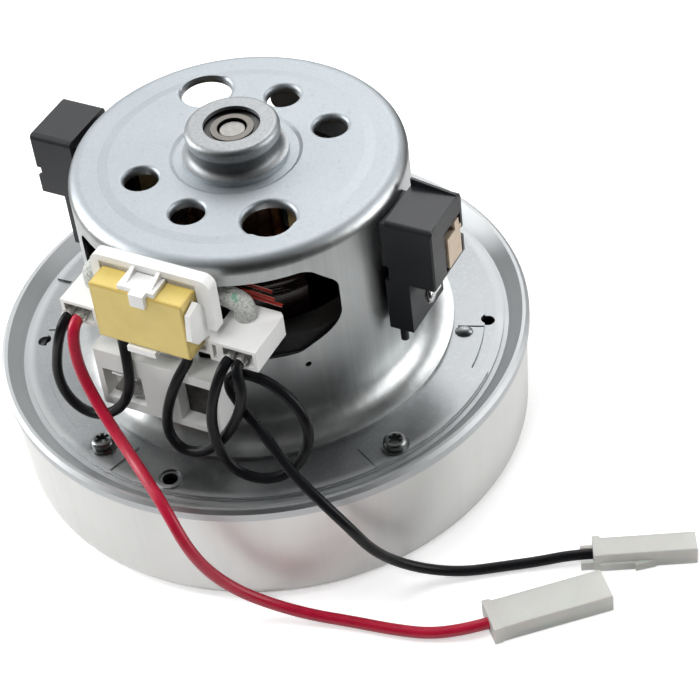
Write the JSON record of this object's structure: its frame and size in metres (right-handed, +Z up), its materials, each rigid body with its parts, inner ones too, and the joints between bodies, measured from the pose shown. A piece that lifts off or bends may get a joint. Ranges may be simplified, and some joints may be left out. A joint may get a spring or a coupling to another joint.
{
  "type": "vacuum cleaner motor unit",
  "caption": "Through-flow vacuum cleaner motor: steel can with brush gear and suppression capacitor on a drum shaped fan housing, with two free leads.",
  "frame": {"origin": "centre of the fan cover's flat bottom, on the shaft's axis", "axes": "+Z up along the shaft towards the bearing boss, brush holders on +X and -X, capacitor on -Y"},
  "size_m": [0.188, 0.1419, 0.0943],
  "materials": {
    "cover_aluminium": "satin drawn aluminium",
    "zinc_plate": "bright galvanised",
    "zinc_can": "bright galvanised",
    "bearing_steel": "ground",
    "screw_zinc": "zinc plated",
    "lamination": "stacked sheet edges",
    "copper": "enamelled copper",
    "commutator_copper": "turned copper",
    "hub_moulding": "moulded",
    "black_moulding": "satin moulded",
    "brass_sheet": "sheet brass",
    "bronze_sheet": "dull bronze",
    "tin": "bright tin",
    "carbon": "pressed carbon",
    "spring_steel": "drawn wire",
    "white_moulding": "moulded nylon",
    "block_moulding": "moulded nylon",
    "capacitor_yellow": "potted box",
    "red_insulation": "satin",
    "black_insulation": "satin",
    "clear_nylon": "translucent nylon",
    "glass_sleeve": "woven glass sleeve",
    "fan_aluminium": "sheet aluminium",
    "diffuser_moulding": "moulded"
  },
  "bodies": {
    "root": {"fan_cover": "cover_aluminium", "fan_bracket": "zinc_plate", "bracket_screws": "screw_zinc", "diffuser": "diffuser_moulding", "motor_can": "zinc_can", "upper_bearing": "bearing_steel", "lower_bearing": "bearing_steel", "bearing_clip_ring": "spring_steel", "stator_core": "lamination", "field_coil_front": "copper", "field_coil_rear": "copper", "coil_sleeves": "glass_sleeve", "brush_holder_right": "black_moulding", "brush_holder_left": "black_moulding", "brush_tube_right": "brass_sheet", "brush_tube_left": "brass_sheet", "brush_clip_right": "bronze_sheet", "brush_clip_left": "bronze_sheet", "solder_tab_right": "tin", "solder_tab_left": "tin", "brush_spring_right": "spring_steel", "brush_spring_left": "spring_steel", "capacitor_bracket": "white_moulding", "terminal_block": "block_moulding", "block_tabs": "tin", "wire_terminals": "tin", "capacitor": "capacitor_yellow", "jumper_left": "black_insulation", "jumper_right": "black_insulation", "red_lead": "red_insulation", "black_lead": "black_insulation", "red_connector": "clear_nylon", "black_connector": "clear_nylon", "red_contact": "tin", "black_contact": "tin"},
    "rotor": {"shaft": "bearing_steel", "bearing_inner_rings": "bearing_steel", "armature_core": "lamination", "armature_winding": "copper", "commutator": "commutator_copper", "commutator_hub": "hub_moulding", "fan_spacer": "bearing_steel", "impeller_back": "fan_aluminium", "impeller_blades": "fan_aluminium", "impeller_shroud": "fan_aluminium", "impeller_washers": "screw_zinc", "impeller_nut": "screw_zinc"},
    "right_brush": {"carbon_brush_right": "carbon"},
    "left_brush": {"carbon_brush_left": "carbon"}
  },
  "joints": [
    {"name": "rotor_spin", "type": "hinge", "parent": "root", "child": "rotor", "pos_m": [0, 0, 0.05], "axis": [0, 0, 1], "continuous": true},
    {"name": "right_brush_slide", "type": "slide", "parent": "root", "child": "right_brush", "axis": [1, 0, 0], "range_m": [0, 0.008], "stiffness_N_per_m": 60, "springref_m": -0.02, "deforming": ["brush_spring_right"]},
    {"name": "left_brush_slide", "type": "slide", "parent": "root", "child": "left_brush", "axis": [-1, 0, 0], "range_m": [0, 0.008], "stiffness_N_per_m": 60, "springref_m": -0.02, "deforming": ["brush_spring_left"]}
  ]
}
